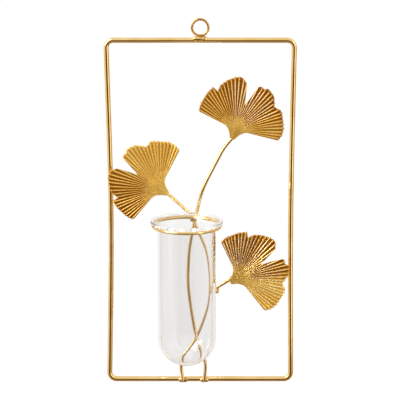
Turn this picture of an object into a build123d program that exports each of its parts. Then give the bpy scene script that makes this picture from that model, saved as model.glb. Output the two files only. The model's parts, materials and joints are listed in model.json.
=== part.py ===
import os
from math import atan2, cos, degrees, radians, sin, sqrt, tan

from build123d import *

# Hanging wall vase: a gilt wire frame on one hanging eye, with a ring that holds a
# glass test-tube vase, and three stamped ginkgo leaves on wire stems behind it.
# Origin at the centre of the hanging eye. +X right, +Z up, +Y towards the wall.
# All sizes in millimetres, angles in degrees.

# Wall frame, one closed loop of round wire, between wire centres
frame_width = 156.0
frame_height = 294.0
frame_wire = 4.4
frame_corner_radius = 6.0
left_rail_bow = 3.5
right_rail_bow = 1.9

# Hanging eye, an open loop of thinner wire welded on the top rail
eye_outer = 15.6
eye_wire = 2.1
eye_mouth = 0.5
eye_mouth_angle = -32.0
eye_seat_gap = 0.6
eye_weld_length = 13.2
eye_weld_girth = 5.6
eye_weld_drop = 9.5

# Glass tube
tube_outer = 48.2
tube_length = 125.0
glass_wall = 1.8
lip_bead = 2.6
lip_overhang = 0.85

# Holder ring, placed from the crossing that carries it
ring_wire = 2.8
ring_slack = 2.4
ring_rise = 5.3
ring_side = -6.3
seat_gap = 0.4
lip_clearance = 1.8

# Stems, two wires that cross under the ring and again behind the tube's foot
stem_wire = 2.8
wall_clearance = 0.05
touch_gap = 0.05
cross_side = -4.8
cross_drop = 154.9
low_cross_side = -2.4
low_cross_rise = 38.7
low_cross_depth = 1.35
lean_in_depth = 0.13
cross_run = 5.0
rear_cross_run = 8.6
low_cross_run = 6.0
front_cross_angle = 78.0
rear_cross_angle = 118.0
front_low_angle = 105.0
rear_low_angle = 62.0
front_stem_bow = 7.1
rear_stem_bow = 16.2
left_foot_side = -14.8
right_foot_side = 3.6
left_knee_out = 2.5
right_knee_out = 1.4
knee_rise = 16.5
foot_overrun = 0.4

# Shares along the straight line between the two crossings, and of the stem's bow
front_bow_shares = [(0.227, 0.71), (0.516, 1.0), (0.741, 0.67)]
rear_bow_shares = [(0.26, 0.8), (0.49, 1.0), (0.69, 0.9)]
# Shares of the way across and up from the crossing to the top leaf
front_reach_share = (0.197, 0.39)

# Branch stem of the right leaf, laid against the rear stem and welded to it
branch_knee_rise = 2.8
branch_end_drop = 2.6
branch_bend = 2.2

# Ginkgo leaves, three stampings from one die
leaf_reach = 45.5
leaf_sheet = 0.6
hub_distance = 8.0
fan_half_angle = 83.5
pleat_count = 36
pleat_depth = 1.5
hub_core = 4.0
valley_share = 0.985
neck_thickness = 1.1
neck_base_width = 4.0
neck_core = 5.0
neck_reach = 11.5
neck_flank_side = 5.2
neck_flank_rise = 5.6
cleft_root_share = 0.49
cleft_angle = 31.0
cut_overrun = 5.0
# Margin of the leaf: share of the fan's half angle, and share of the leaf's reach
margin_shares = [
    (1.0, 0.755), (0.925, 0.8), (0.8, 0.83), (0.7, 0.87), (0.57, 0.905),
    (0.54, 0.79), (0.475, 0.88), (0.35, 0.95), (0.2, 1.0), (0.165, 0.995),
    (0.085, 0.9), (-0.065, 0.895), (-0.115, 0.945), (-0.17, 0.93), (-0.21, 0.985),
    (-0.34, 0.95), (-0.41, 0.88), (-0.465, 0.84), (-0.545, 0.92), (-0.7, 0.9),
    (-0.855, 0.89), (-0.945, 0.85), (-1.0, 0.81),
]

# How the stem laps the back of a leaf's neck, and the weld over it
lap_length = 6.5
lap_approach = 5.0
lap_groove = 0.25
leaf_weld_length = 6.0
leaf_weld_girth = 4.0
leaf_weld_sink = 0.4

# Where each leaf sits: its foot's place beside and above the upper crossing, or for the
# right leaf the branch's seat, its depth, the angle of its axis, its turn about the
# vertical, its stem's angle and how far the stem laps beside the middle of the foot
left_leaf = dict(side=-22.6, rise=25.0, depth=-1.3, axis=146.0, turn=6.5, stem=137.0, lap=0.0)
top_leaf = dict(side=31.5, rise=72.1, depth=-1.4, axis=69.5, turn=-2.0, stem=48.0, lap=0.0)
right_leaf = dict(side=13.4, rise=7.0, depth=-1.9, axis=31.7, turn=-3.5, stem=33.0, lap=1.8)

# Weld beads
ring_weld_side = -0.8
ring_weld_length = 6.4
ring_weld_girth = 5.0
ring_weld_depth = 1.9
ring_weld_drop = 1.9
branch_weld_length = 4.8
branch_weld_girth = 4.2
branch_weld_drop = 0.6
branch_weld_out = 1.3
foot_weld_length = 8.0
foot_weld_girth = 5.2

# Share of a run that its arc may take at each end
arc_share = 0.45

# Heights and depths that follow from the sizes above
top_rail_z = -(eye_outer / 2 + eye_seat_gap + frame_wire / 2)
bottom_rail_z = top_rail_z - frame_height
cross_z = top_rail_z - cross_drop
ring_z = cross_z + ring_rise
low_cross_z = bottom_rail_z + low_cross_rise
wire_pitch = stem_wire + touch_gap
rear_y = frame_wire / 2 - stem_wire / 2 - wall_clearance
front_y = rear_y - wire_pitch
rear_low_y = -low_cross_depth
front_low_y = rear_low_y - wire_pitch
foot_y = -(frame_wire + stem_wire) / 2 - touch_gap
body_radius = tube_outer / 2
ring_radius = body_radius + ring_slack + ring_wire / 2
lip_radius = ring_radius + ring_wire / 2 + lip_overhang
tube_x = cross_side + ring_side
tube_y = rear_y - stem_wire / 2 - lip_clearance - lip_radius


def round_wire(points, diameter, widest_bend=None):
    """A round wire of one diameter, its runs joined by the largest arcs that fit or are allowed."""
    corners = [Vector(*point) for point in points]
    radii = []
    for before, corner, after in zip(corners, corners[1:], corners[2:]):
        turn = radians((corner - before).get_angle(after - corner))
        run = min((corner - before).length, (after - corner).length)
        fitting = arc_share * run / tan(turn / 2)
        radii.append(min(fitting, widest_bend or fitting))
    path = FilletPolyline(*corners, radius=radii)
    return sweep(Plane(path @ 0, z_dir=path % 0) * Circle(diameter / 2), path=path)


def weld_bead(centre, along, length, girth):
    """A weld bead: a round-ended pill laid along one direction."""
    radius = girth / 2
    reach = length / 2 - radius
    outline = (
        Line((-length / 2, 0), (length / 2, 0))
        + CenterArc((reach, 0), radius, 0, 90)
        + Line((reach, radius), (-reach, radius))
        + CenterArc((-reach, 0), radius, 90, 90)
    )
    bead = revolve(make_face(outline), Axis.X)
    upward = Vector(*along).cross(Vector(0, 1, 0))
    return Plane(origin=centre, x_dir=along, z_dir=upward) * bead


def largest(shape):
    """The main solid of a cut shape, without thin crumbs beside it."""
    return max(shape.solids(), key=lambda solid: solid.volume)


def make_wall_frame():
    side = frame_width / 2
    middle_z = (top_rail_z + bottom_rail_z) / 2
    halves = []
    for hand, bow in ((1, right_rail_bow), (-1, left_rail_bow)):
        corners = [
            Vector(0, 0, top_rail_z),
            Vector(hand * side, 0, top_rail_z),
            Vector(hand * (side - bow), 0, middle_z),
            Vector(hand * side, 0, bottom_rail_z),
            Vector(0, 0, bottom_rail_z),
        ]
        half_rail = frame_height / 2
        bow_radius = arc_share * half_rail / tan(atan2(bow, half_rail))
        radii = [frame_corner_radius, bow_radius, frame_corner_radius]
        halves.append(FilletPolyline(*corners, radius=radii))
    section = Circle(frame_wire / 2)
    solids = [sweep(Plane(path @ 0, z_dir=path % 0) * section, path=path) for path in halves]
    return solids[0] + solids[1]


def make_hanging_eye():
    radius = (eye_outer - eye_wire) / 2
    mouth = degrees(eye_mouth / radius)
    loop = Torus(radius, eye_wire / 2, major_angle=360 - mouth)
    upright = Rotation(90, 0, 0) * Rotation(0, 0, eye_mouth_angle + mouth / 2)
    return upright * loop


def make_eye_weld(eye, frame):
    flush_back = (frame_wire - eye_weld_girth) / 2
    middle = (0, flush_back, -eye_weld_drop)
    return largest(weld_bead(middle, (1, 0, 0), eye_weld_length, eye_weld_girth) - eye - frame)


def make_holder_ring():
    return Pos(tube_x, tube_y, ring_z) * Torus(ring_radius, ring_wire / 2)


def make_glass_tube():
    """A round-bottomed tube whose flared lip rests inside the top of the ring."""
    flare = lip_radius - lip_bead / 2 - body_radius
    centre_r = body_radius + flare
    ring_reach = flare - ring_wire / 2 - seat_gap
    flare_z = ring_z - sqrt(ring_reach**2 - (centre_r - ring_radius) ** 2)
    lip_z = flare_z + flare + glass_wall / 2
    pole_z = lip_z + lip_bead / 2 - tube_length
    bowl_z = pole_z + body_radius
    bore_radius = body_radius - glass_wall
    inner_flare = flare + glass_wall
    outer = (
        CenterArc((0, bowl_z), body_radius, -90, 90)
        + Line((body_radius, bowl_z), (body_radius, flare_z))
        + CenterArc((centre_r, flare_z), flare, 90, 90)
    )
    inner = (
        CenterArc((0, bowl_z), bore_radius, -90, 90)
        + Line((bore_radius, bowl_z), (bore_radius, flare_z))
        + CenterArc((centre_r, flare_z), inner_flare, 90, 90)
    )
    ends = Line((0, pole_z), (0, pole_z + glass_wall)) + Line(
        (centre_r, flare_z + flare), (centre_r, flare_z + inner_flare)
    )
    wall = revolve(Plane.XZ * make_face(outer + inner + ends), Axis.Z)
    lip = Pos(0, 0, lip_z) * Torus(centre_r, lip_bead / 2)
    return Pos(tube_x, tube_y, 0) * (wall + lip)


def leaf_plane(leaf):
    """The leaf's own plane: X along its axis, Z out of its front."""
    tilt = radians(leaf["turn"])
    axis = radians(leaf["axis"])
    carrier = branch_seat()[0] if leaf is right_leaf else Vector(cross_side, 0, cross_z)
    return Plane(
        origin=(carrier.X + leaf["side"], leaf["depth"], carrier.Z + leaf["rise"]),
        x_dir=(cos(axis) * cos(tilt), cos(axis) * sin(tilt), sin(axis)),
        z_dir=(sin(tilt), -cos(tilt), 0),
    )


def lap_point(leaf, distance):
    """A point of the stem's centre line where it laps the back of the leaf's neck."""
    lean = radians(leaf["stem"] - leaf["axis"])
    behind = neck_thickness / 2 + stem_wire / 2 - lap_groove
    beside = leaf["lap"]
    x = distance * cos(lean) - beside * sin(lean)
    y = distance * sin(lean) + beside * cos(lean)
    return leaf_plane(leaf).from_local_coords((x, y, -behind))


def margin_reach(share):
    """Distance from the hub to the leaf's margin at a share of the fan's half angle."""
    for (share_a, reach_a), (share_b, reach_b) in zip(margin_shares, margin_shares[1:]):
        if share_b <= share <= share_a:
            part = (share_a - share) / (share_a - share_b)
            return leaf_reach * (reach_a + part * (reach_b - reach_a))
    return leaf_reach * margin_shares[-1][1]


def make_fan():
    """The pleated blade: flat facets that fold at ribs running straight from the hub."""
    ribs = []
    for index in range(2 * pleat_count + 1):
        share = 1 - index / pleat_count
        angle = radians(fan_half_angle * share)
        ridge = index % 2
        slope = (ridge - 1 / 2) * pleat_depth / leaf_reach
        reach = margin_reach(share) * (1 if ridge else valley_share)
        corners = []
        for radius, side in ((hub_core, 1), (reach, 1), (reach, -1), (hub_core, -1)):
            x = hub_distance + radius * cos(angle)
            y = radius * sin(angle)
            corners.append((x, y, radius * slope + side * leaf_sheet / 2))
        ribs.append(corners)
    facets = [Face(Wire.make_polygon(rib)) for rib in (ribs[0], ribs[-1])]
    for rib, following in zip(ribs, ribs[1:]):
        for a, b in ((0, 1), (1, 2), (2, 3), (3, 0)):
            facets.append(Face(Wire.make_polygon([rib[a], rib[b], following[b], following[a]])))
    return Solid(Shell(facets))


def make_leaf_blank():
    """One stamping: pleated fan, smooth neck, and the deep cleft between two lobes."""
    edge = radians(fan_half_angle)
    root = neck_base_width / 2
    shoulder = (hub_distance + neck_reach * cos(edge), neck_reach * sin(edge))
    core = (hub_distance + neck_core * cos(edge / 2), neck_core * sin(edge / 2))
    outline = (
        Line((0, -root), (0, root))
        + ThreePointArc((0, root), (neck_flank_rise, neck_flank_side), shoulder)
        + Line(shoulder, core)
        + ThreePointArc(core, (hub_distance + neck_core, 0), (core[0], -core[1]))
        + Line((core[0], -core[1]), (shoulder[0], -shoulder[1]))
        + ThreePointArc((shoulder[0], -shoulder[1]), (neck_flank_rise, -neck_flank_side), (0, -root))
    )
    neck = extrude(make_face(outline), neck_thickness / 2, both=True)
    cleft_root = hub_distance + leaf_reach * cleft_root_share
    cleft_run = leaf_reach - leaf_reach * cleft_root_share + cut_overrun
    cleft_side = cleft_run * tan(radians(cleft_angle / 2))
    cleft = extrude(
        make_face(
            Polyline(
                (cleft_root, 0),
                (cleft_root + cleft_run, cleft_side),
                (cleft_root + cleft_run, -cleft_side),
                close=True,
            )
        ),
        pleat_depth + leaf_sheet,
        both=True,
    )
    return make_fan() + neck - cleft


def swing(centre, angle, distance, depth=0.0):
    """A point at an angle in the frame's plane and a distance from a centre."""
    x, y, z = centre
    return (x + distance * cos(radians(angle)), y + depth, z + distance * sin(radians(angle)))


def bow_points(high, low, bow, shares):
    """Points of a stem's bow, in shares of the line between its crossings."""
    points = []
    for along, out in shares:
        x, y, z = (a + along * (b - a) for a, b in zip(high, low))
        points.append((x + bow * out, y, z))
    return points


def foot_points(side, knee_out):
    """A stem's knee and foot, down in front of the bottom rail."""
    knee = (side + knee_out, foot_y, bottom_rail_z + knee_rise)
    return [knee, (side, foot_y, bottom_rail_z - foot_overrun)]


def front_stem_points():
    """From the top leaf down in front of the rear stem to the right foot."""
    high = (cross_side, front_y, cross_z)
    low = (low_cross_side, front_low_y, low_cross_z)
    step = lean_in_depth * cross_run
    start = lap_point(top_leaf, lap_length)
    approach = lap_point(top_leaf, -2 * lap_approach)
    across, up = front_reach_share
    reach = (
        cross_side + across * top_leaf["side"],
        (front_y + approach.Y) / 2,
        cross_z + up * top_leaf["rise"],
    )
    bows = bow_points(high, low, -front_stem_bow, front_bow_shares)
    return [
        tuple(start),
        tuple(approach),
        reach,
        swing(high, front_cross_angle, cross_run, step),
        swing(high, front_cross_angle, -cross_run, -step),
        *bows,
        swing(low, front_low_angle, low_cross_run),
        swing(low, front_low_angle, -low_cross_run),
        *foot_points(right_foot_side, right_knee_out),
    ]


def rear_stem_points():
    """From the left leaf down behind the front stem to the left foot."""
    high = (cross_side, rear_y, cross_z)
    low = (low_cross_side, rear_low_y, low_cross_z)
    return [
        tuple(lap_point(left_leaf, lap_length)),
        tuple(lap_point(left_leaf, -lap_approach)),
        swing(high, rear_cross_angle, rear_cross_run),
        swing(high, rear_cross_angle, -cross_run),
        *bow_points(high, low, rear_stem_bow, rear_bow_shares),
        swing(low, rear_low_angle, low_cross_run),
        swing(low, rear_low_angle, -low_cross_run),
        *foot_points(left_foot_side, -left_knee_out),
    ]


def branch_seat():
    """Middle of the rear stem's outermost run, the way down it and the way out of it."""
    points = rear_stem_points()
    upper, lower = (Vector(*point) for point in points[5:7])
    down = (lower - upper).normalized()
    return (upper + lower) / 2, down, down.cross(Vector(0, 1, 0)).normalized()


def branch_points():
    """From the right leaf to where it lies against the rear stem."""
    seat, down, outward = branch_seat()
    beside = seat + outward * wire_pitch
    return [
        tuple(lap_point(right_leaf, lap_length)),
        tuple(lap_point(right_leaf, -lap_approach)),
        tuple(beside - down * branch_knee_rise),
        tuple(beside + down * branch_end_drop),
    ]


def make_ring_weld(ring, stems):
    """The bead that joins the back of the ring to both stems where they cross."""
    ring_back_y = tube_y + ring_radius
    middle = (
        cross_side + ring_weld_side,
        ring_back_y + ring_weld_depth,
        ring_z - ring_weld_drop,
    )
    bead = weld_bead(middle, (1, 0, 0), ring_weld_length, ring_weld_girth) - ring
    for stem in stems:
        bead = bead - stem
    return largest(bead)


def make_leaf_weld(leaf, stem, blade):
    along = lap_point(leaf, lap_length) - lap_point(leaf, 0)
    centre = lap_point(leaf, lap_length / 2) + leaf_plane(leaf).z_dir * leaf_weld_sink
    bead = weld_bead(tuple(centre), tuple(along), leaf_weld_length, leaf_weld_girth)
    return largest(bead - stem - blade)


def make_parts():
    frame = make_wall_frame()
    eye = make_hanging_eye()
    ring = make_holder_ring()
    stem_top = round_wire(front_stem_points(), stem_wire)
    stem_left = round_wire(rear_stem_points(), stem_wire)
    stem_right = round_wire(branch_points(), stem_wire, branch_bend)

    blank = make_leaf_blank()
    seats = ((left_leaf, stem_left), (top_leaf, stem_top), (right_leaf, stem_right))
    blades = [leaf_plane(leaf) * blank - stem for leaf, stem in seats]
    leaf_welds = [make_leaf_weld(leaf, stem, blade) for (leaf, stem), blade in zip(seats, blades)]

    seat, down, outward = branch_seat()
    bead_seat = seat + down * branch_weld_drop + outward * branch_weld_out
    branch_bead = weld_bead(tuple(bead_seat), tuple(down), branch_weld_length, branch_weld_girth)
    foot_welds = []
    for side, stem in ((left_foot_side, stem_left), (right_foot_side, stem_top)):
        foot = (side, -frame_wire / 2, bottom_rail_z)
        bead = weld_bead(foot, (1, 0, 0), foot_weld_length, foot_weld_girth)
        foot_welds.append(largest(bead - frame - stem))

    return {
        "wall_frame": frame,
        "hanging_eye": eye,
        "eye_weld": make_eye_weld(eye, frame),
        "holder_ring": ring,
        "ring_weld": make_ring_weld(ring, (stem_top, stem_left)),
        "stem_left_leaf": stem_left,
        "stem_top_leaf": stem_top,
        "stem_right_leaf": stem_right,
        "branch_weld": largest(branch_bead - stem_left - stem_right),
        "foot_welds": Compound(foot_welds),
        "leaf_left": blades[0],
        "leaf_top": blades[1],
        "leaf_right": blades[2],
        "leaf_welds": Compound(leaf_welds),
        "glass_tube": make_glass_tube(),
    }


os.makedirs("parts", exist_ok=True)
for name, shape in make_parts().items():
    export_step(shape, f"parts/{name}.step")
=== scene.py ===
import json
from math import cos, radians, sin

import bpy
import numpy as np
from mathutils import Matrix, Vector


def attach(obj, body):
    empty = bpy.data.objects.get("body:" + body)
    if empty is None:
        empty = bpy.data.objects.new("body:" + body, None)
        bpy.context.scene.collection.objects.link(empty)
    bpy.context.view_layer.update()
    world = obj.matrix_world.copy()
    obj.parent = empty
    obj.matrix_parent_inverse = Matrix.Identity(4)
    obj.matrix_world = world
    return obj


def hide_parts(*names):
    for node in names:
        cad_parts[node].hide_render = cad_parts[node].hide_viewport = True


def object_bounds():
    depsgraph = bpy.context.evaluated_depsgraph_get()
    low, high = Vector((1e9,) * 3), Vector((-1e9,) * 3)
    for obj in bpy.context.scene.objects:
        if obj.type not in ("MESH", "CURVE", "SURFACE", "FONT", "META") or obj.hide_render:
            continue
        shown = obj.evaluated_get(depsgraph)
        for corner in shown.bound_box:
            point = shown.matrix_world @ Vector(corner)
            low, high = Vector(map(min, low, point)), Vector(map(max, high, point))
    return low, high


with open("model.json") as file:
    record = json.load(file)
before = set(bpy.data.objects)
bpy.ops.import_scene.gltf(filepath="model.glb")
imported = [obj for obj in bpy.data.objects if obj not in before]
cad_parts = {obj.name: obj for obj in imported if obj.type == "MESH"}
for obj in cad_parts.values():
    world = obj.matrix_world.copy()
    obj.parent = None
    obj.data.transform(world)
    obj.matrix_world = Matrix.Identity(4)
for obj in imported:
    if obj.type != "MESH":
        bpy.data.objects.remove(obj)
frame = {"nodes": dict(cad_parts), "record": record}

# Hanging wall vase, dressed over its CAD frame: metres, hanging eye at the origin, wall towards +Y.
scene = bpy.context.scene
nodes = frame["nodes"]
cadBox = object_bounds()
mm = 0.001
print("frame loaded:", len(nodes), "nodes")


# Camera, light and floor

camera = {
    "aim": (-0.00013, 0.0, -0.1463),
    "distance": 1.567,
    "elevation": 13.15,
    "lens": 167.2,
    "sensor": 36.0,
    "clipEnd": 60.0,
}
studio = {
    "floorHeight": -1.3,
    "floorSize": 40.0,
    "floorTone": (0.12, 0.12, 0.12),
    "floorRough": 0.9,
    "floorGlow": 0.9,
    "backdrop": (1.0, 1.0, 1.0),
    "tentLit": (0.92, 0.9, 0.86),    # pale cloth all round, as the metal mirrors it
    "tentDim": (0.4, 0.28, 0.14),    # its shaded foot
    "litSide": (-0.35, 0.0, 1.0),
    "litRange": (-0.95, 0.1),        # along that direction, where the cloth goes from dim to lit
    "gap": (0.13, 0.055, 0.01),      # the dark of the room where the camera looks in
    "gapMiddle": (-0.04, -0.26),     # sideways and up, as a direction from the object
    "gapReach": (0.56, 0.42),
    "gapEdge": 0.15,                 # share of the reach over which it fades
    "bothWalls": 3.5,                # a ray that crossed more glass faces went through both walls
    "bounces": 200,                  # light caught in the glass lip runs on until it gets out
    "clamp": 8.0,
}
softboxes = [  # name, towards the light from the object, distance, size, watts, colour
    ("keySoftbox", (-0.7, -0.37, 0.61), 1.3, (0.8, 1.3), 15.0, (1.0, 0.98, 0.95)),
    ("rightSoftbox", (0.72, -0.69, 0.12), 1.4, (0.3, 1.5), 3.2, (1.0, 0.99, 0.97)),
    ("glintSoftbox", (-0.7, -0.37, 0.61), 1.25, (0.32, 0.85), 13.0, (1.0, 1.0, 1.0)),
]


def makeCamera(look):
    data = bpy.data.cameras.new("photoCamera")
    data.lens = look["lens"]
    data.sensor_width = look["sensor"]
    data.clip_end = look["clipEnd"]
    piece = bpy.data.objects.new("photoCamera", data)
    scene.collection.objects.link(piece)
    tilt = radians(look["elevation"])
    x, y, z = look["aim"]
    piece.location = (x, y - look["distance"] * cos(tilt), z + look["distance"] * sin(tilt))
    piece.rotation_euler = (radians(90) - tilt, 0, 0)
    scene.camera = piece


def addNodes(tree, *kinds):
    return [tree.nodes.new("ShaderNode" + kind) for kind in kinds]


def straightRays(tree, bothWalls):
    # 1 for rays straight from the lens and rays that leave the glass, 0 for rays that metal mirrored.
    # Where metal behind both walls mirrored a ray once, it stays 0 when it comes back through the glass.
    path, once, behind, mirrored, through, seen = addNodes(tree, "LightPath", *5 * ["Math"])
    once.operation, behind.operation, mirrored.operation = "COMPARE", "GREATER_THAN", "MULTIPLY"
    through.operation, seen.operation = "SUBTRACT", "ADD"
    once.inputs[1].default_value = 1.0
    once.inputs[2].default_value = 0.5
    behind.inputs[1].default_value = bothWalls
    through.use_clamp = True
    link = tree.links.new
    link(path.outputs["Glossy Depth"], once.inputs[0])
    link(path.outputs["Transmission Depth"], behind.inputs[0])
    link(once.outputs["Value"], mirrored.inputs[0])
    link(behind.outputs["Value"], mirrored.inputs[1])
    link(path.outputs["Is Transmission Ray"], through.inputs[0])
    link(mirrored.outputs["Value"], through.inputs[1])
    link(through.outputs["Value"], seen.inputs[0])
    link(path.outputs["Is Camera Ray"], seen.inputs[1])
    return seen.outputs["Value"]


def makeWorld(look):
    # Lens and glass see the plain backdrop; metal mirrors a pale tent with a dark gap at its front.
    world = bpy.data.worlds.new("studioWorld")
    scene.world = world
    world.use_nodes = True
    tree = world.node_tree
    tree.nodes.clear()
    link = tree.links.new
    out, place = addNodes(tree, "OutputWorld", "TexCoord")
    direction = place.outputs["Generated"]
    # the gap is an ellipse round its middle, on the camera's side alone
    centre, shape, reach = addNodes(tree, *3 * ["VectorMath"])
    centre.operation, shape.operation, reach.operation = "SUBTRACT", "MULTIPLY", "LENGTH"
    side, up = look["gapMiddle"]
    centre.inputs[1].default_value = (side, 0, up)
    shape.inputs[1].default_value = (1 / look["gapReach"][0], 0, 1 / look["gapReach"][1])
    fade, split, behind, beyond = addNodes(tree, "MapRange", "SeparateXYZ", "Math", "Math")
    fade.interpolation_type = "SMOOTHSTEP"
    fade.inputs["From Min"].default_value = 1 - look["gapEdge"]
    fade.inputs["From Max"].default_value = 1 + look["gapEdge"]
    behind.operation, beyond.operation = "GREATER_THAN", "MAXIMUM"
    behind.inputs[1].default_value = 0.0
    link(direction, centre.inputs[0])
    link(centre.outputs["Vector"], shape.inputs[0])
    link(shape.outputs["Vector"], reach.inputs[0])
    link(reach.outputs["Value"], fade.inputs["Value"])
    link(direction, split.inputs["Vector"])
    link(split.outputs["Y"], behind.inputs[0])
    link(fade.outputs["Result"], beyond.inputs[0])
    link(behind.outputs["Value"], beyond.inputs[1])
    # the cloth brightens along the lit side's direction
    facing, rise, cloth, colour = addNodes(tree, "VectorMath", "MapRange", "Mix", "Mix")
    facing.operation = "DOT_PRODUCT"
    facing.inputs[1].default_value = look["litSide"]
    rise.inputs["From Min"].default_value, rise.inputs["From Max"].default_value = look["litRange"]
    cloth.data_type = colour.data_type = "RGBA"
    cloth.inputs["A"].default_value = (*look["tentDim"], 1)
    cloth.inputs["B"].default_value = (*look["tentLit"], 1)
    colour.inputs["A"].default_value = (*look["gap"], 1)
    link(direction, facing.inputs[0])
    link(facing.outputs["Value"], rise.inputs["Value"])
    link(rise.outputs["Result"], cloth.inputs["Factor"])
    link(cloth.outputs["Result"], colour.inputs["B"])
    link(beyond.outputs["Value"], colour.inputs["Factor"])
    tent, plain, mix = addNodes(tree, "Background", "Background", "MixShader")
    plain.inputs["Color"].default_value = (*look["backdrop"], 1)
    link(colour.outputs["Result"], tent.inputs["Color"])
    link(straightRays(tree, look["bothWalls"]), mix.inputs["Fac"])
    link(tent.outputs["Background"], mix.inputs[1])
    link(plain.outputs["Background"], mix.inputs[2])
    link(mix.outputs["Shader"], out.inputs["Surface"])


def makeSoftbox(name, towards, distance, size, watts, colour):
    data = bpy.data.lights.new(name, "AREA")
    data.shape = "RECTANGLE"
    data.size, data.size_y = size
    data.energy = watts
    data.color = colour
    piece = bpy.data.objects.new(name, data)
    scene.collection.objects.link(piece)
    way = Vector(towards).normalized()
    middle = Vector(((cadBox[0][i] + cadBox[1][i]) / 2 for i in range(3)))
    piece.location = middle + way * distance
    piece.rotation_euler = way.to_track_quat("Z", "Y").to_euler()
    piece.visible_camera = False
    return piece


def makeFloor(look):
    half = look["floorSize"] / 2
    corners = [(-half, -half), (half, -half), (half, half), (-half, half)]
    mesh = bpy.data.meshes.new("floor")
    mesh.from_pydata([(x, y, look["floorHeight"]) for x, y in corners], [], [(0, 1, 2, 3)])
    floor = bpy.data.objects.new("floor", mesh)
    scene.collection.objects.link(floor)
    skin = bpy.data.materials.new("paleFloor")
    skin.use_nodes = True
    tree = skin.node_tree
    shader, out, link = tree.nodes["Principled BSDF"], tree.nodes["Material Output"], tree.links.new
    shader.inputs["Base Color"].default_value = (*look["floorTone"], 1)
    shader.inputs["Roughness"].default_value = look["floorRough"]
    shader.inputs["Specular IOR Level"].default_value = 0.0
    shader.inputs["Emission Color"].default_value = (*look["backdrop"], 1)
    shader.inputs["Emission Strength"].default_value = look["floorGlow"]
    clear, mix = addNodes(tree, "BsdfTransparent", "MixShader")
    link(straightRays(tree, look["bothWalls"]), mix.inputs["Fac"])
    link(clear.outputs["BSDF"], mix.inputs[1])
    link(shader.outputs["BSDF"], mix.inputs[2])
    link(mix.outputs["Shader"], out.inputs["Surface"])
    mesh.materials.append(skin)
    floor.visible_glossy = False
    floor.visible_diffuse = False


scene.view_settings.view_transform = "Standard"
for limit in ("max_bounces", "transmission_bounces", "glossy_bounces"):
    setattr(scene.cycles, limit, studio["bounces"])
scene.cycles.sample_clamp_indirect = studio["clamp"]
makeCamera(camera)
makeWorld(studio)
lamps = {softbox[0]: makeSoftbox(*softbox) for softbox in softboxes}
makeFloor(studio)
print("studio set")


# Finishes

gilt = {
    "wire": {
        "bright": (0.96, 0.73, 0.36), "deep": (0.88, 0.6, 0.22),
        "rough": 0.04, "patch": 60.0, "metal": 1.0,
    },
    "eye": {
        "bright": (0.78, 0.47, 0.17), "deep": (0.6, 0.33, 0.09),
        "rough": 0.1, "patch": 150.0, "metal": 1.0,
    },
    "leaf": {
        "bright": (1.0, 0.68, 0.17), "deep": (0.95, 0.58, 0.1),
        "rough": 0.26, "patch": 90.0, "metal": 0.45, "rubbed": 0.05,
        # valley: painted shade down the pleats' valleys; crest: painted highlight along their crests
        "valleyShade": (0.36, 0.125, 0.003), "valleyShadeRange": (0.6, 0.0),
        "crestHighlight": (1.0, 0.97, 0.86), "crestHighlightRange": (0.84, 1.0),
    },
    "weld": {
        "bright": (0.95, 0.68, 0.3), "deep": (0.5, 0.27, 0.06),
        "rough": 0.08, "patch": 400.0, "metal": 1.0,
    },
}
giltGrain = {
    "patchDetail": 3.0, "patchRange": (0.35, 0.65),
    "detail": 2.0, "scale": 900.0, "roughSpread": 0.08, "strength": 0.08,
}
grainMm = {"frame": 0.03, "stem": 0.02, "eye": 0.03, "leaf": 0.006, "weld": 0.1}  # its depth
glass = {
    "clear": (0.956, 0.959, 0.962), "smoky": (0.87, 0.855, 0.845), "rough": 0.0, "ior": 1.48,
    "streaks": (75.0, 75.0, 4.0), "streakRange": (0.3, 0.7),
    "waves": (60.0, 60.0, 22.0), "waveDepth": 0.12, "waveStrength": 0.02, "detail": 2.0,
}


def makeGiltGroup(look):
    # Gilding: broad tone patches, and a fine orange-peel height that the roughness follows.
    group = bpy.data.node_groups.new("giltSurface", "ShaderNodeTree")
    socket = group.interface.new_socket
    for name, kind in (("Bright", "NodeSocketColor"), ("Deep", "NodeSocketColor"),
                       ("Patch Scale", "NodeSocketFloat"), ("Grain Scale", "NodeSocketFloat"),
                       ("Roughness", "NodeSocketFloat"), ("Roughness Spread", "NodeSocketFloat")):
        socket(name=name, in_out="INPUT", socket_type=kind)
    for name, kind in (("Color", "NodeSocketColor"), ("Roughness", "NodeSocketFloat"),
                       ("Height", "NodeSocketFloat")):
        socket(name=name, in_out="OUTPUT", socket_type=kind)
    make, link = group.nodes.new, group.links.new
    given, out = make("NodeGroupInput"), make("NodeGroupOutput")
    place = make("ShaderNodeTexCoord")
    patch, grain = make("ShaderNodeTexNoise"), make("ShaderNodeTexNoise")
    patch.inputs["Detail"].default_value = look["patchDetail"]
    grain.inputs["Detail"].default_value = look["detail"]
    tone = make("ShaderNodeMix")
    tone.data_type = "RGBA"
    share = make("ShaderNodeMapRange")
    share.inputs["From Min"].default_value, share.inputs["From Max"].default_value = look["patchRange"]
    spread = make("ShaderNodeMath")
    spread.operation = "MULTIPLY_ADD"
    link(place.outputs["Object"], patch.inputs["Vector"])
    link(place.outputs["Object"], grain.inputs["Vector"])
    link(given.outputs["Patch Scale"], patch.inputs["Scale"])
    link(given.outputs["Grain Scale"], grain.inputs["Scale"])
    link(patch.outputs["Fac"], share.inputs["Value"])
    link(share.outputs["Result"], tone.inputs["Factor"])
    link(given.outputs["Deep"], tone.inputs["A"])
    link(given.outputs["Bright"], tone.inputs["B"])
    link(grain.outputs["Fac"], spread.inputs[0])
    link(given.outputs["Roughness Spread"], spread.inputs[1])
    link(given.outputs["Roughness"], spread.inputs[2])
    link(tone.outputs["Result"], out.inputs["Color"])
    link(spread.outputs["Value"], out.inputs["Roughness"])
    link(grain.outputs["Fac"], out.inputs["Height"])
    return group


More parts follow.
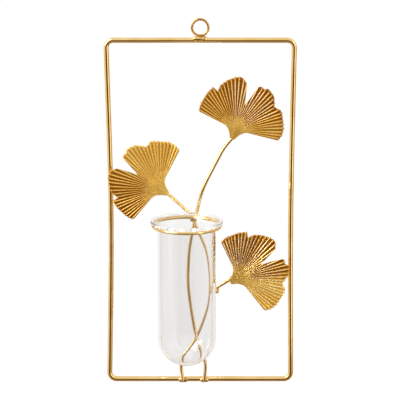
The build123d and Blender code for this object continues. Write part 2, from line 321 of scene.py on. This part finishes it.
def makeGiltMaterial(name, look, group, grain, depth):
    skin = bpy.data.materials.new(name)
    skin.use_nodes = True
    tree = skin.node_tree
    shader = tree.nodes["Principled BSDF"]
    shader.inputs["Metallic"].default_value = look["metal"]
    surface, bump = addNodes(tree, "Group", "Bump")
    surface.node_tree = group
    surface.inputs["Bright"].default_value = (*look["bright"], 1)
    surface.inputs["Deep"].default_value = (*look["deep"], 1)
    surface.inputs["Patch Scale"].default_value = look["patch"]
    surface.inputs["Grain Scale"].default_value = grain["scale"]
    surface.inputs["Roughness"].default_value = look["rough"]
    surface.inputs["Roughness Spread"].default_value = grain["roughSpread"]
    bump.inputs["Distance"].default_value = depth * mm
    bump.inputs["Strength"].default_value = grain["strength"]
    link = tree.links.new
    link(surface.outputs["Color"], shader.inputs["Base Color"])
    link(surface.outputs["Roughness"], shader.inputs["Roughness"])
    link(surface.outputs["Height"], bump.inputs["Height"])
    link(bump.outputs["Normal"], shader.inputs["Normal"])
    return skin


def makeLeafMaterial(name, look, group, grain, depth):
    # Painted shade darkens the gilt down the pleats' valleys, and a painted highlight brightens it along
    # their crests, where it is also smoother.
    skin = makeGiltMaterial(name, look, group, grain, depth)
    tree = skin.node_tree
    shader, link = tree.nodes["Principled BSDF"], tree.links.new
    colour, rough = (shader.inputs[socket].links[0].from_socket for socket in ("Base Color", "Roughness"))
    pleatShading, smoother = addNodes(tree, "Attribute", "Math")
    pleatShading.attribute_name = "pleatShading"
    for tone in ("valleyShade", "crestHighlight"):
        share, mix = addNodes(tree, "MapRange", "Mix")
        share.interpolation_type = "SMOOTHSTEP"
        share.inputs["From Min"].default_value = look[tone + "Range"][0]
        share.inputs["From Max"].default_value = look[tone + "Range"][1]
        mix.data_type = "RGBA"
        mix.inputs["B"].default_value = (*look[tone], 1)
        link(pleatShading.outputs["Fac"], share.inputs["Value"])
        link(share.outputs["Result"], mix.inputs["Factor"])
        link(colour, mix.inputs["A"])
        colour = mix.outputs["Result"]
    link(colour, shader.inputs["Base Color"])
    smoother.operation = "MULTIPLY_ADD"
    smoother.inputs[1].default_value = -look["rubbed"]
    link(pleatShading.outputs["Fac"], smoother.inputs[0])
    link(rough, smoother.inputs[2])
    link(smoother.outputs["Value"], shader.inputs["Roughness"])
    return skin


def makeGlassMaterial(look):
    skin = bpy.data.materials.new("clearGlass")
    skin.use_nodes = True
    tree = skin.node_tree
    shader, link = tree.nodes["Principled BSDF"], tree.links.new
    shader.inputs["Roughness"].default_value = look["rough"]
    shader.inputs["IOR"].default_value = look["ior"]
    shader.inputs["Transmission Weight"].default_value = 1.0
    # Drawn tube glass: upright streaks of a greyer tone, and shallow waves in its surface.
    place, share, tone, bump = addNodes(tree, "TexCoord", "MapRange", "Mix", "Bump")
    noises = []
    for stretch in (look["streaks"], look["waves"]):
        longer, noise = addNodes(tree, "VectorMath", "TexNoise")
        longer.operation = "MULTIPLY"
        longer.inputs[1].default_value = stretch
        noise.inputs["Scale"].default_value = 1.0
        noise.inputs["Detail"].default_value = look["detail"]
        link(place.outputs["Object"], longer.inputs[0])
        link(longer.outputs["Vector"], noise.inputs["Vector"])
        noises.append(noise.outputs["Fac"])
    share.inputs["From Min"].default_value, share.inputs["From Max"].default_value = look["streakRange"]
    tone.data_type = "RGBA"
    tone.inputs["A"].default_value = (*look["clear"], 1)
    tone.inputs["B"].default_value = (*look["smoky"], 1)
    bump.inputs["Strength"].default_value = look["waveStrength"]
    bump.inputs["Distance"].default_value = look["waveDepth"] * mm
    link(noises[0], share.inputs["Value"])
    link(share.outputs["Result"], tone.inputs["Factor"])
    link(tone.outputs["Result"], shader.inputs["Base Color"])
    link(noises[1], bump.inputs["Height"])
    link(bump.outputs["Normal"], shader.inputs["Normal"])
    return skin


giltGroup = makeGiltGroup(giltGrain)
finishes = {
    "frame_wire": makeGiltMaterial("giltFrameWire", gilt["wire"], giltGroup, giltGrain, grainMm["frame"]),
    "stem_wire": makeGiltMaterial("giltStemWire", gilt["wire"], giltGroup, giltGrain, grainMm["stem"]),
    "leaf_sheet": makeLeafMaterial("giltLeaf", gilt["leaf"], giltGroup, giltGrain, grainMm["leaf"]),
    "weld": makeGiltMaterial("giltWeld", gilt["weld"], giltGroup, giltGrain, grainMm["weld"]),
    "clear_glass": makeGlassMaterial(glass),
}
eyeFinish = makeGiltMaterial("giltEye", gilt["eye"], giltGroup, giltGrain, grainMm["eye"])
for part in frame["record"]["subparts"]:
    for place in nodes[part["node"]].material_slots:
        place.material = eyeFinish if part["node"] == "hanging_eye" else finishes[part["material_slot"]]
print("finishes made")


# New pieces: every surface is a grid of points in millimetres, worked out as whole arrays

def gridPiece(name, points, slot, body, stoodFor, tips=(False, False), rims=(False, False)):
    # Rows run along the piece and columns close round it. A tip draws an end row into one point,
    # and a rim joins the two halves of an end row, as round the edge of a sheet.
    rows, columns = points.shape[:2]
    index = np.arange(rows * columns).reshape(rows, columns)
    for row, tip in ((0, tips[0]), (-1, tips[1])):
        if tip:
            index[row] = index[row, 0]
    used = np.unique(index)
    index = np.searchsorted(used, index)
    around = np.concatenate([index, index[:, :1]], axis=1)
    quads = np.stack([around[:-1, :-1], around[:-1, 1:], around[1:, 1:], around[1:, :-1]], axis=-1)
    first, last = int(tips[0]), rows - 1 - int(tips[1])
    faces = quads[first:last].reshape(-1, 4).tolist()
    if tips[0]:
        faces += quads[0][:, [0, 2, 3]].tolist()
    if tips[1]:
        faces += quads[-1][:, [0, 1, 2]].tolist()
    half = columns // 2
    for row, rim, turned in ((index[0], rims[0], True), (index[-1], rims[1], False)):
        if rim:
            front, back = row[:half], row[:half - 1:-1]
            strip = np.stack([front[:-1], front[1:], back[1:], back[:-1]], axis=-1)
            faces += (strip[:, ::-1] if turned else strip).tolist()
    mesh = bpy.data.meshes.new(name)
    mesh.from_pydata((points.reshape(-1, 3)[used] * mm).tolist(), [], faces)
    mesh.polygons.foreach_set("use_smooth", np.ones(len(mesh.polygons), dtype=bool))
    mesh.materials.append(finishes[slot])
    piece = bpy.data.objects.new(name, mesh)
    scene.collection.objects.link(piece)
    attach(piece, body)
    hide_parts(stoodFor)
    return piece, used


def smoothStep(value):
    value = np.clip(value, 0, 1)
    return value * value * (3 - 2 * value)


# Glass tube

tube = {
    "axis": (-11.1, -32.6),
    "bodyRadius": 24.1,
    "wall": 1.8,
    "bowlHeight": -256.943,
    "flareHeight": -162.993,
    "flare": 4.75,
    "lipBead": 1.3,
    "lipUneven": 0.05,
    "lipWaves": [(0.35, 3, 0.4), (0.15, 5, 2.0)],  # share, waves to a turn, start
    "sides": 192,
    "bowlPoints": 30,
    "wallPoints": 9,
    "flarePoints": (12, 14),
    "beadPoints": 34,
}


def arc(centre, radius, start, end, count):
    angle = np.radians(np.linspace(start, end, count))
    return np.stack([centre[0] + radius * np.cos(angle), centre[1] + radius * np.sin(angle)], axis=1)


def tubeOutline(look):
    # Outer bowl and wall, flare, round bead of the lip, and back down inside: arcs and straights.
    outer, flare, bead = look["bodyRadius"], look["flare"], look["lipBead"]
    inner = outer - look["wall"]
    bowl, bend = (0, look["bowlHeight"]), (outer + flare, look["flareHeight"])
    rise = flare + look["wall"] / 2
    lip = (bend[0], bend[1] + rise)
    meets = []
    for reach in (flare, flare + look["wall"]):
        lean = np.degrees(np.arccos((reach**2 + rise**2 - bead**2) / (2 * reach * rise)))
        low = reach * cos(radians(lean)) - rise
        meets.append((90 + lean, np.degrees(np.arctan2(low, -reach * sin(radians(lean))))))
    (outerEnd, beadStart), (innerEnd, beadEnd) = meets
    wall = np.linspace(look["bowlHeight"], look["flareHeight"], look["wallPoints"])[1:-1]
    outerPoints, innerPoints = look["flarePoints"]
    return np.concatenate([
        arc(bowl, outer, -90, 0, look["bowlPoints"]),
        np.stack([np.full_like(wall, outer), wall], axis=1),
        arc(bend, flare, 180, outerEnd, outerPoints),
        arc(lip, bead, beadStart, beadEnd, look["beadPoints"])[1:-1],
        arc(bend, flare + look["wall"], innerEnd, 180, innerPoints),
        np.stack([np.full_like(wall, inner), wall[::-1]], axis=1),
        arc(bowl, inner, 0, -90, look["bowlPoints"]),
    ])


def makeTube(look):
    # The outline is turned about the tube's axis. The lip's reach and height waver round it, each as a
    # sum of two slow sines, by lipUneven at most.
    outline = tubeOutline(look)
    turn = np.linspace(0, 2 * np.pi, look["sides"], endpoint=False)
    radius, height = np.meshgrid(outline[:, 0], turn, indexing="ij")[0], outline[:, 1][:, None]
    nearLip = smoothStep((height - look["flareHeight"]) / look["flare"])
    waver = sum((size * np.sin(count * turn + start) for size, count, start in look["lipWaves"]), start=0.5)
    radius = radius - look["lipUneven"] * nearLip * waver[None, :]
    height = height - look["lipUneven"] * nearLip * waver[None, ::-1]
    x = look["axis"][0] + radius * np.cos(turn)
    y = look["axis"][1] + radius * np.sin(turn)
    points = np.stack([x, y, np.broadcast_to(height, x.shape)], axis=-1)
    return gridPiece("glass_vase", points, "clear_glass", "tube", "glass_tube", tips=(True, True))[0]


def linkLamp(lampName, piece, state):
    receivers = bpy.data.collections.new(lampName + "Glass")
    receivers.objects.link(piece)
    receivers.collection_objects[0].light_linking.link_state = state
    lamps[lampName].light_linking.receiver_collection = receivers


vase = makeTube(tube)
linkLamp("glintSoftbox", vase, "INCLUDE")  # the glint falls on the glass alone
linkLamp("rightSoftbox", vase, "EXCLUDE")
print("glass tube made")


# Ginkgo leaves, three stampings from one die

leafDie = {
    "reach": 45.5,
    "hub": 8.0,
    "halfAngle": 83.5,
    "footWidth": 4.0,
    "neckLead": (2.8, 3.4),       # where the neck's curve first heads for: along, and half its width
    "neckEase": 5.6,              # and last, out along its ray from the hub
    "neckReach": 11.5,
    "cleftRoot": 0.49,
    "cleftAngle": 31.0,
    "leastSpread": 1e-3,          # keeps the cleft's sides from running out without end
    "sheet": 0.6,
    "neckSheet": 1.1,
    "thinMargin": 0.6,            # share of the sheet left at the very margin
    "thinSides": (0.3, 30),       # share lost at the two side edges, and how suddenly
    "pleats": 36,
    "pleatDepth": 1.5,
    "pleatSwing": 0.8,            # shares of that depth: the whole swing, and how far it is let down
    "pleatDrop": 0.5,
    "flatLevel": 0.6,             # where the unpleated sheet lies between valley, 0, and ridge, 1
    "growFrom": (0.35, 0.65),     # shares of the neck where the pleats start, and over which they grow
    "ridgeWidth": 0.55,
    "ridgeLean": 0.16,
    "toothShares": (0.985, 1.02),
    "leastTooth": 0.3,
    "uneven": 0.4,
    "sway": 0.03,
    "swayLength": 4.5,
    "begins": (0.09, 0.2),        # share of the reach where one pleat and the next rise out of the sheet
    "beginsSpread": 0.06,
    "rise": 0.12,
    "leastFold": 0.55,            # share of the full height left where the painted light's contrast goes to nothing
    "shine": 0.72,                # least share of the full painted crest highlight that a pleat shows
    "hubShade": (0.35, 0.3),      # share of tone lost at the hub, and share of the reach it fades over
    "darkMargin": (0.6, 0.8, 0.2),  # share of tone lost at the margin, where that starts, and over what
    "backShade": 0.84,
    "margin": [  # share of the half angle, share of the reach
        (1.0, 0.755), (0.925, 0.8), (0.8, 0.83), (0.7, 0.87), (0.57, 0.905),
        (0.54, 0.79), (0.475, 0.88), (0.35, 0.95), (0.2, 1.0), (0.165, 0.995),
        (0.085, 0.9), (-0.065, 0.895), (-0.115, 0.945), (-0.17, 0.93), (-0.21, 0.985),
        (-0.34, 0.95), (-0.41, 0.88), (-0.465, 0.84), (-0.545, 0.92), (-0.7, 0.9),
        (-0.855, 0.89), (-0.945, 0.85), (-1.0, 0.81),
    ],
    "columnsPerPleat": 10,
    "neckRows": 14,
    "bladeRows": 22,
}
leafPlaces = {  # tones of painted light: share of the half angle, how much painted light lifts the gilt there, and the contrast of its painted shade and highlight
    "leaf_left": {
        "foot": (-27.4, -1.3, -140.5), "axis": 146.0, "turn": 6.5,
        "paintedLobeLight": [(-1.0, 0.02, 0.5), (-0.1, 0.02, 0.5), (0.1, 0.0, 0.85), (1.0, 0.0, 1.15)],
    },
    "leaf_top": {
        "foot": (26.7, -1.4, -93.4), "axis": 69.5, "turn": -2.0,
        "paintedLobeLight": [(-1.0, -0.14, 0.4), (-0.7, -0.1, 0.55), (-0.5, 0.14, 2.0), (-0.1, 0.16, 2.0),
                  (0.1, 0.12, 1.4), (0.35, 0.1, 1.3), (0.6, -0.04, 0.9), (1.0, -0.08, 0.7)],
    },
    "leaf_right": {
        "foot": (25.4, -1.9, -217.74), "axis": 31.7, "turn": -3.5,
        "paintedLobeLight": [(-1.0, 0.22, 0.4), (-0.45, 0.24, 0.45), (-0.3, 0.2, 1.2), (0.0, 0.18, 1.4),
                  (1.0, 0.26, 1.4)],
    },
}


def pleatChances(die):
    # What sets each pleat apart: one draw of every kind for every pleat, in this order.
    chance = np.random.default_rng(11)
    ranges = {
        "lean": (-1, 1), "tooth": (die["leastTooth"], 1), "uneven": (-1, 1),
        "sway": (0, 2 * np.pi), "begins": (-1, 1), "shine": (die["shine"], 1),
    }
    return {kind: chance.uniform(low, high, die["pleats"]) for kind, (low, high) in ranges.items()}


def leafPlan(die, share, tooth):
    # The flat stamping: each column starts on the leaf's foot, bends through the neck as a cubic curve
    # and runs out along a ray from the hub to the margin, where two straight cuts make the cleft.
    # Also gives how far out each point lies, as a share of the reach, for the pleats to grow by.
    shares, reaches = np.array(die["margin"][::-1]).T
    angle = np.radians(die["halfAngle"]) * share
    reach = die["reach"] * np.interp(share, shares, reaches)
    reach = reach * (die["toothShares"][0] * (1 - tooth) + die["toothShares"][1] * tooth)
    half = radians(die["cleftAngle"] / 2)
    beside = np.maximum(half - np.abs(angle), die["leastSpread"])
    reach = np.minimum(reach, die["reach"] * die["cleftRoot"] * sin(half) / np.sin(beside))
    ray = np.stack([np.cos(angle), np.sin(angle)], axis=-1)
    hub = np.array([die["hub"], 0])
    start = np.stack([0 * share, die["footWidth"] / 2 * share], axis=-1)
    lead = np.stack([0 * share + die["neckLead"][0], die["neckLead"][1] * share], axis=-1)
    ease, end = hub + die["neckEase"] * ray, hub + die["neckReach"] * ray
    along = np.linspace(0, 1, die["neckRows"])[:, None, None]
    neck = ((1 - along)**3 * start + 3 * (1 - along)**2 * along * lead
            + 3 * (1 - along) * along**2 * ease + along**3 * end)
    out = np.linspace(0, 1, die["bladeRows"] + 1)[1:, None]
    radius = die["neckReach"] + (reach - die["neckReach"]) * out
    blade = hub + radius[..., None] * ray
    growFrom, growOver = die["growFrom"]
    grow = smoothStep((along[..., 0] - growFrom) / growOver) * die["neckReach"] / die["reach"]
    grow = np.concatenate([np.broadcast_to(grow, neck.shape[:2]), radius / die["reach"]])
    return np.concatenate([neck, blade]), grow


def leafSurface(die, paintedLobeLight):
    # Each pleat swings as a cosine from valley to ridge and back, deeper further out. The sheet's painted
    # shade and highlight follow the pleats, shaded at hub and margin, and are lifted and stretched by the
    # painted light in the leaf's table.
    share = np.linspace(-1, 1, die["pleats"] * die["columnsPerPleat"] + 1)
    fold = die["pleats"] * (1 - share)
    pleat = np.clip((fold / 2).astype(int), 0, die["pleats"] - 1)
    drawn = {kind: values[pleat] for kind, values in pleatChances(die).items()}
    middle = 1 + die["ridgeLean"] * drawn["lean"]
    ridge = 0.5 + 0.5 * np.cos(np.pi * np.minimum(np.abs(fold % 2 - middle) / die["ridgeWidth"], 1))
    flat, grow = leafPlan(die, share, ridge * drawn["tooth"])

    # painted light per lobe: the lift brightens the tone, and the contrast stretches its painted shade and
    # highlight
    stations, lifts, contrasts = np.array(paintedLobeLight).T
    lift, contrast = np.interp(share, stations, lifts), np.interp(share, stations, contrasts)
    depth = 1 + die["uneven"] * drawn["uneven"] * np.sin(np.pi * fold / 2)**2
    distance = grow * die["reach"]
    depth = depth * (1 + die["sway"] * np.sin(distance / die["swayLength"] + drawn["sway"]) * ridge)
    begins = np.where(pleat % 2, *die["begins"]) + die["beginsSpread"] * drawn["begins"]
    risen = smoothStep((grow - begins) / die["rise"])
    level, drop = die["flatLevel"], die["pleatDrop"]
    full = die["leastFold"] + (1 - die["leastFold"]) * np.minimum(contrast, 1)
    folded = die["pleatSwing"] * (level + (ridge * depth - level) * risen * full) - drop
    height = die["pleatDepth"] * grow * folded

    downNeck = np.linspace(0, 1, die["neckRows"])
    thick = np.full(flat.shape[0], die["sheet"])
    thick[:die["neckRows"]] += (die["neckSheet"] - die["sheet"]) * (1 - smoothStep(downNeck))
    thick[-1] *= die["thinMargin"]
    lost, power = die["thinSides"]
    thick = thick[:, None] * (1 - lost * np.abs(share)**power)

    hubLoss, hubReach = die["hubShade"]
    pleatShading = level + (ridge * drawn["shine"] - level) * risen
    pleatShading = pleatShading * (1 - hubLoss * (1 - smoothStep(grow / hubReach)))
    marginLoss, darkFrom, darkOver = die["darkMargin"]
    out = np.linspace(0, 1, die["bladeRows"] + 1)[1:, None]
    pleatShading[die["neckRows"]:] *= 1 - marginLoss * smoothStep((out - darkFrom) / darkOver)
    toned = level + lift + contrast * (pleatShading - level)
    return flat, height, thick, toned, die["backShade"] * (1 - pleatShading)


def makeLeaf(name, place):
    tilt, axis = radians(place["turn"]), radians(place["axis"])
    forward = np.array([cos(axis) * cos(tilt), cos(axis) * sin(tilt), sin(axis)])
    outward = np.array([sin(tilt), -cos(tilt), 0])
    across = np.cross(outward, forward)
    flat, height, thick, pleatShading, pleatShadingBack = leafSurface(leafDie, place["paintedLobeLight"])
    base = np.array(place["foot"]) + flat[..., :1] * forward + flat[..., 1:] * across
    front = base + (height + thick / 2)[..., None] * outward
    back = base + (height - thick / 2)[..., None] * outward
    points = np.concatenate([front, back[:, ::-1]], axis=1)
    piece, used = gridPiece(name + "_sheet", points, "leaf_sheet", "frame", name, rims=(True, True))
    pleatShading = np.concatenate([pleatShading, pleatShadingBack[:, ::-1]], axis=1).clip(0, 1).reshape(-1)[used]
    # the attribute carries the painted shade and highlight to the leaf's finish
    piece.data.attributes.new("pleatShading", "FLOAT", "POINT").data.foreach_set("value", pleatShading)
    return piece


for leafName, leafPlace in leafPlaces.items():
    makeLeaf(leafName, leafPlace)
print("leaves made")


# Weld beads

beads = {  # node, middle, angle of its length in the frame's plane, length, girth, swells along it
    "bead_eye": ("eye_weld", (0.0, -0.6, -9.5), 0.0, 13.2, 5.6, 3.0),
    "bead_ring": ("ring_weld", (-5.6, -2.8, -162.1), 0.0, 6.4, 5.0, 2.0),
    "bead_branch": ("branch_weld", (13.31, -0.85, -225.41), -93.0, 4.8, 4.2, 1.5),
    "bead_left_foot": ("foot_welds", (-14.8, -2.2, -304.6), 0.0, 8.0, 5.2, 2.0),
    "bead_right_foot": ("foot_welds", (3.6, -2.2, -304.6), 0.0, 8.0, 5.2, 2.5),
    "bead_left_leaf": ("leaf_welds", (-29.78, 0.0, -138.28), 137.0, 6.0, 4.0, 1.5),
    "bead_top_leaf": ("leaf_welds", (28.87, -0.1, -90.98), 48.0, 6.0, 4.0, 2.0),
    "bead_right_leaf": ("leaf_welds", (27.16, -0.6, -214.42), 33.0, 6.0, 4.0, 1.5),
}
beadShape = {"roundness": 2.8, "sink": 0.2, "phaseStep": 1.9, "rows": 40, "columns": 48}


def makeBead(name, stoodFor, middle, turn, length, girth, swells, shape, phase):
    # A rounded pill, from a super-ellipse turned about its length. Three slow waves, one along it and
    # two round it, sink its skin here and there, as solder runs and freezes.
    down = np.linspace(0, np.pi, shape["rows"])[:, None]
    turnRound = np.linspace(0, 2 * np.pi, shape["columns"], endpoint=False)[None, :]
    power = shape["roundness"]
    swell = (np.abs(np.cos(down))**power + np.abs(np.sin(down))**power)**(-1 / power)
    waves = (np.sin(swells * np.pi * np.cos(down) + phase) + np.sin(2 * turnRound + 2 * phase)
             + np.sin(3 * turnRound - 4 * np.cos(down) + phase))
    radius = 1 - shape["sink"] * (0.5 + waves / 6) * np.sin(down)
    along = np.broadcast_to(length / 2 * swell * np.cos(down), radius.shape)
    aside = girth / 2 * swell * np.sin(down) * radius
    angle = radians(turn)
    forward, upward = np.array([cos(angle), 0, sin(angle)]), np.array([-sin(angle), 0, cos(angle)])
    points = (np.array(middle) + along[..., None] * forward
              + (aside * np.cos(turnRound))[..., None] * upward
              - (aside * np.sin(turnRound))[..., None] * np.array([0, 1, 0]))
    gridPiece(name, points[::-1], "weld", "frame", stoodFor, tips=(True, True))


for count, (beadName, bead) in enumerate(beads.items()):
    makeBead(beadName, *bead, beadShape, beadShape["phaseStep"] * count)
print("weld beads made")
